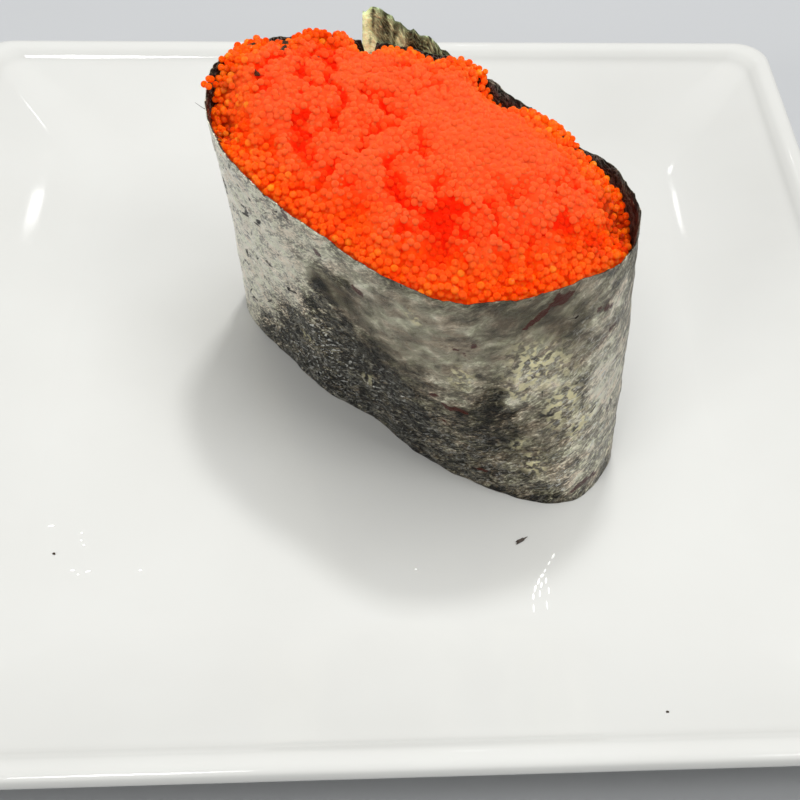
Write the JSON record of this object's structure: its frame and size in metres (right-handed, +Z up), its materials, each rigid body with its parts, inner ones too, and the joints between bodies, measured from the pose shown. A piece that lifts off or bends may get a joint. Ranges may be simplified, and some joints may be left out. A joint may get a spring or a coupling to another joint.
{
  "type": "plate of capelin roe",
  "caption": "Square glazed dish carrying one gunkan roll: an upright oval band of seaweed heaped with capelin roe.",
  "frame": {"origin": "middle of the dish on the surface it stands on", "axes": "+Z up, +X along the dish's side to the viewer's right, -Y to the side that faces the viewer"},
  "size_m": [0.13, 0.13, 0.0481],
  "materials": {
    "white_glaze": "glossy white glaze, slightly warm",
    "seaweed": "dried seaweed sheet, black to olive with a grey sheen and fine fibres",
    "capelin_roe": "wet orange-red eggs, translucent and glossy"
  },
  "bodies": {
    "root": {"plate": "white_glaze", "nori": "seaweed", "roe": "capelin_roe"}
  },
  "joints": []
}
